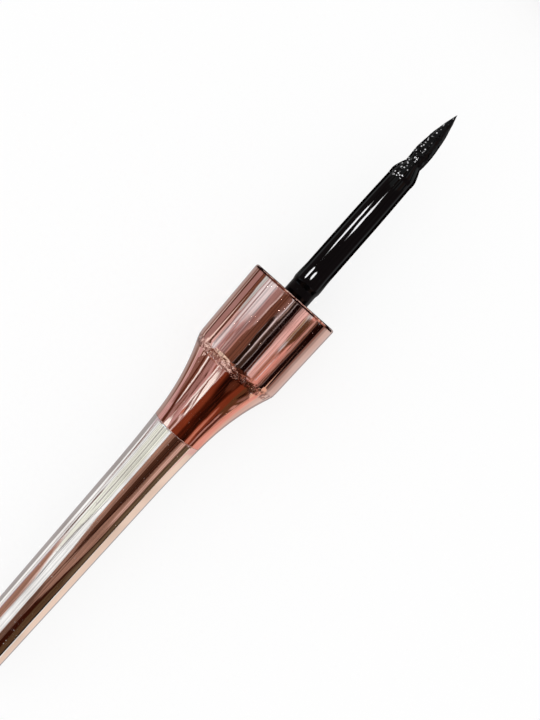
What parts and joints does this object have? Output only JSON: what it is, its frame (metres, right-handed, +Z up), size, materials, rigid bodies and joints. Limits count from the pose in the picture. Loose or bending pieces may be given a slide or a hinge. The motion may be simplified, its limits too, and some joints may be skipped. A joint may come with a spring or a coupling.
{
  "type": "liquid eyeliner bottle",
  "caption": "Liquid eyeliner: a slim-handled brush cap with a flared collar, drawn out in line with its bottle, which holds a wiper, a vial and a mixing ball.",
  "frame": {"origin": "on the table, under the middle of the whole as it lies, with the brush cap drawn out of the bottle", "axes": "+X along the common axis, from the handle's end to the base of the bottle, +Z up"},
  "size_m": [0.2006, 0.016, 0.016],
  "materials": {
    "silver": "polished, anodised silver",
    "rose_gold": "polished, rose gold",
    "sleeve_rose": "polished, rose gold",
    "black_gloss": "glossy black moulding",
    "bristle_black": "black bristles, wet",
    "cap_plastic": "black moulding",
    "core_plastic": "natural white moulding",
    "liner_foam": "soft white washer",
    "steel": "turned steel",
    "wiper_rubber": "soft, translucent white",
    "vial_plastic": "glossy black moulding",
    "base_plastic": "fine matt black moulding",
    "ball_steel": "polished steel"
  },
  "bodies": {
    "bottle": {"vial": "vial_plastic", "bottle_sleeve": "sleeve_rose", "base_plug": "base_plastic", "wiper": "wiper_rubber"},
    "applicator": {"handle_tube": "silver", "handle_core": "core_plastic", "handle_weight": "steel", "bell_collar": "rose_gold", "inner_cap": "cap_plastic", "cap_liner": "liner_foam", "rod": "black_gloss", "brush_tuft": "bristle_black"},
    "ball": {"mixing_ball": "ball_steel"}
  },
  "joints": [
    {"name": "cap_slide", "type": "slide", "parent": "bottle", "child": "applicator", "axis": [1, 0, 0], "range_m": [0, 0.07085]},
    {"name": "ball_roll", "type": "slide", "parent": "bottle", "child": "ball", "axis": [-1, 0, 0], "range_m": [0, 0.0335]}
  ]
}
